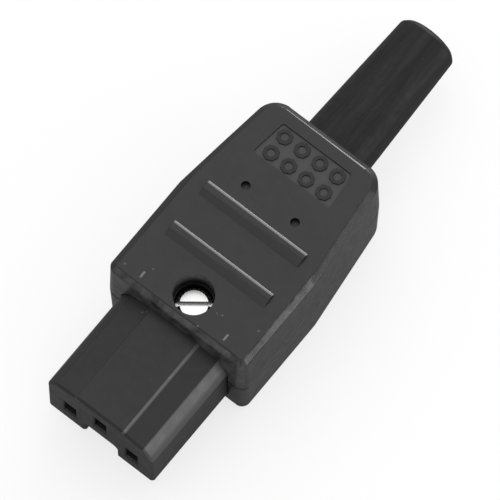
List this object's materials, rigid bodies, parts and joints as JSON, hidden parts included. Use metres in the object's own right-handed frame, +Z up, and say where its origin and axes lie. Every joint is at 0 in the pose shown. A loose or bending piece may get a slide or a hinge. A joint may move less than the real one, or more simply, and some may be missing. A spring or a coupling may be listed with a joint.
{
  "type": "iec power connector",
  "caption": "Black rewireable appliance connector with a keyed three-slot nose, ribbed two-part housing, recessed clamping screw and tapered cord guard.",
  "frame": {"origin": "middle of the footprint, on the plane that the base rests on", "axes": "+Z up, +Y along the connector from the nose to the cord guard, +X across it"},
  "size_m": [0.0316, 0.0946, 0.0248],
  "materials": {
    "housing_plastic": "fine moulded grain",
    "nose_plastic": "smooth moulded",
    "guard_rubber": "soft moulded",
    "clamp_plastic": "moulded",
    "plated_steel": "bright zinc plate",
    "spring_steel": "plain",
    "contact_brass": "stamped"
  },
  "bodies": {
    "root": {"upper_shell": "housing_plastic", "lower_shell": "housing_plastic", "contact_carrier": "nose_plastic", "cord_guard": "guard_rubber", "cord_clamp": "clamp_plastic", "cord_clamp_screw_left": "plated_steel", "cord_clamp_screw_right": "plated_steel", "housing_screw": "plated_steel", "housing_nut": "plated_steel", "line_contact": "contact_brass", "line_spring_clip": "spring_steel", "line_terminal_block": "contact_brass", "line_terminal_screw": "plated_steel", "neutral_contact": "contact_brass", "neutral_spring_clip": "spring_steel", "neutral_terminal_block": "contact_brass", "neutral_terminal_screw": "plated_steel", "earth_contact": "contact_brass", "earth_spring_clip": "spring_steel", "earth_terminal_block": "contact_brass", "earth_terminal_screw": "plated_steel"}
  },
  "joints": []
}
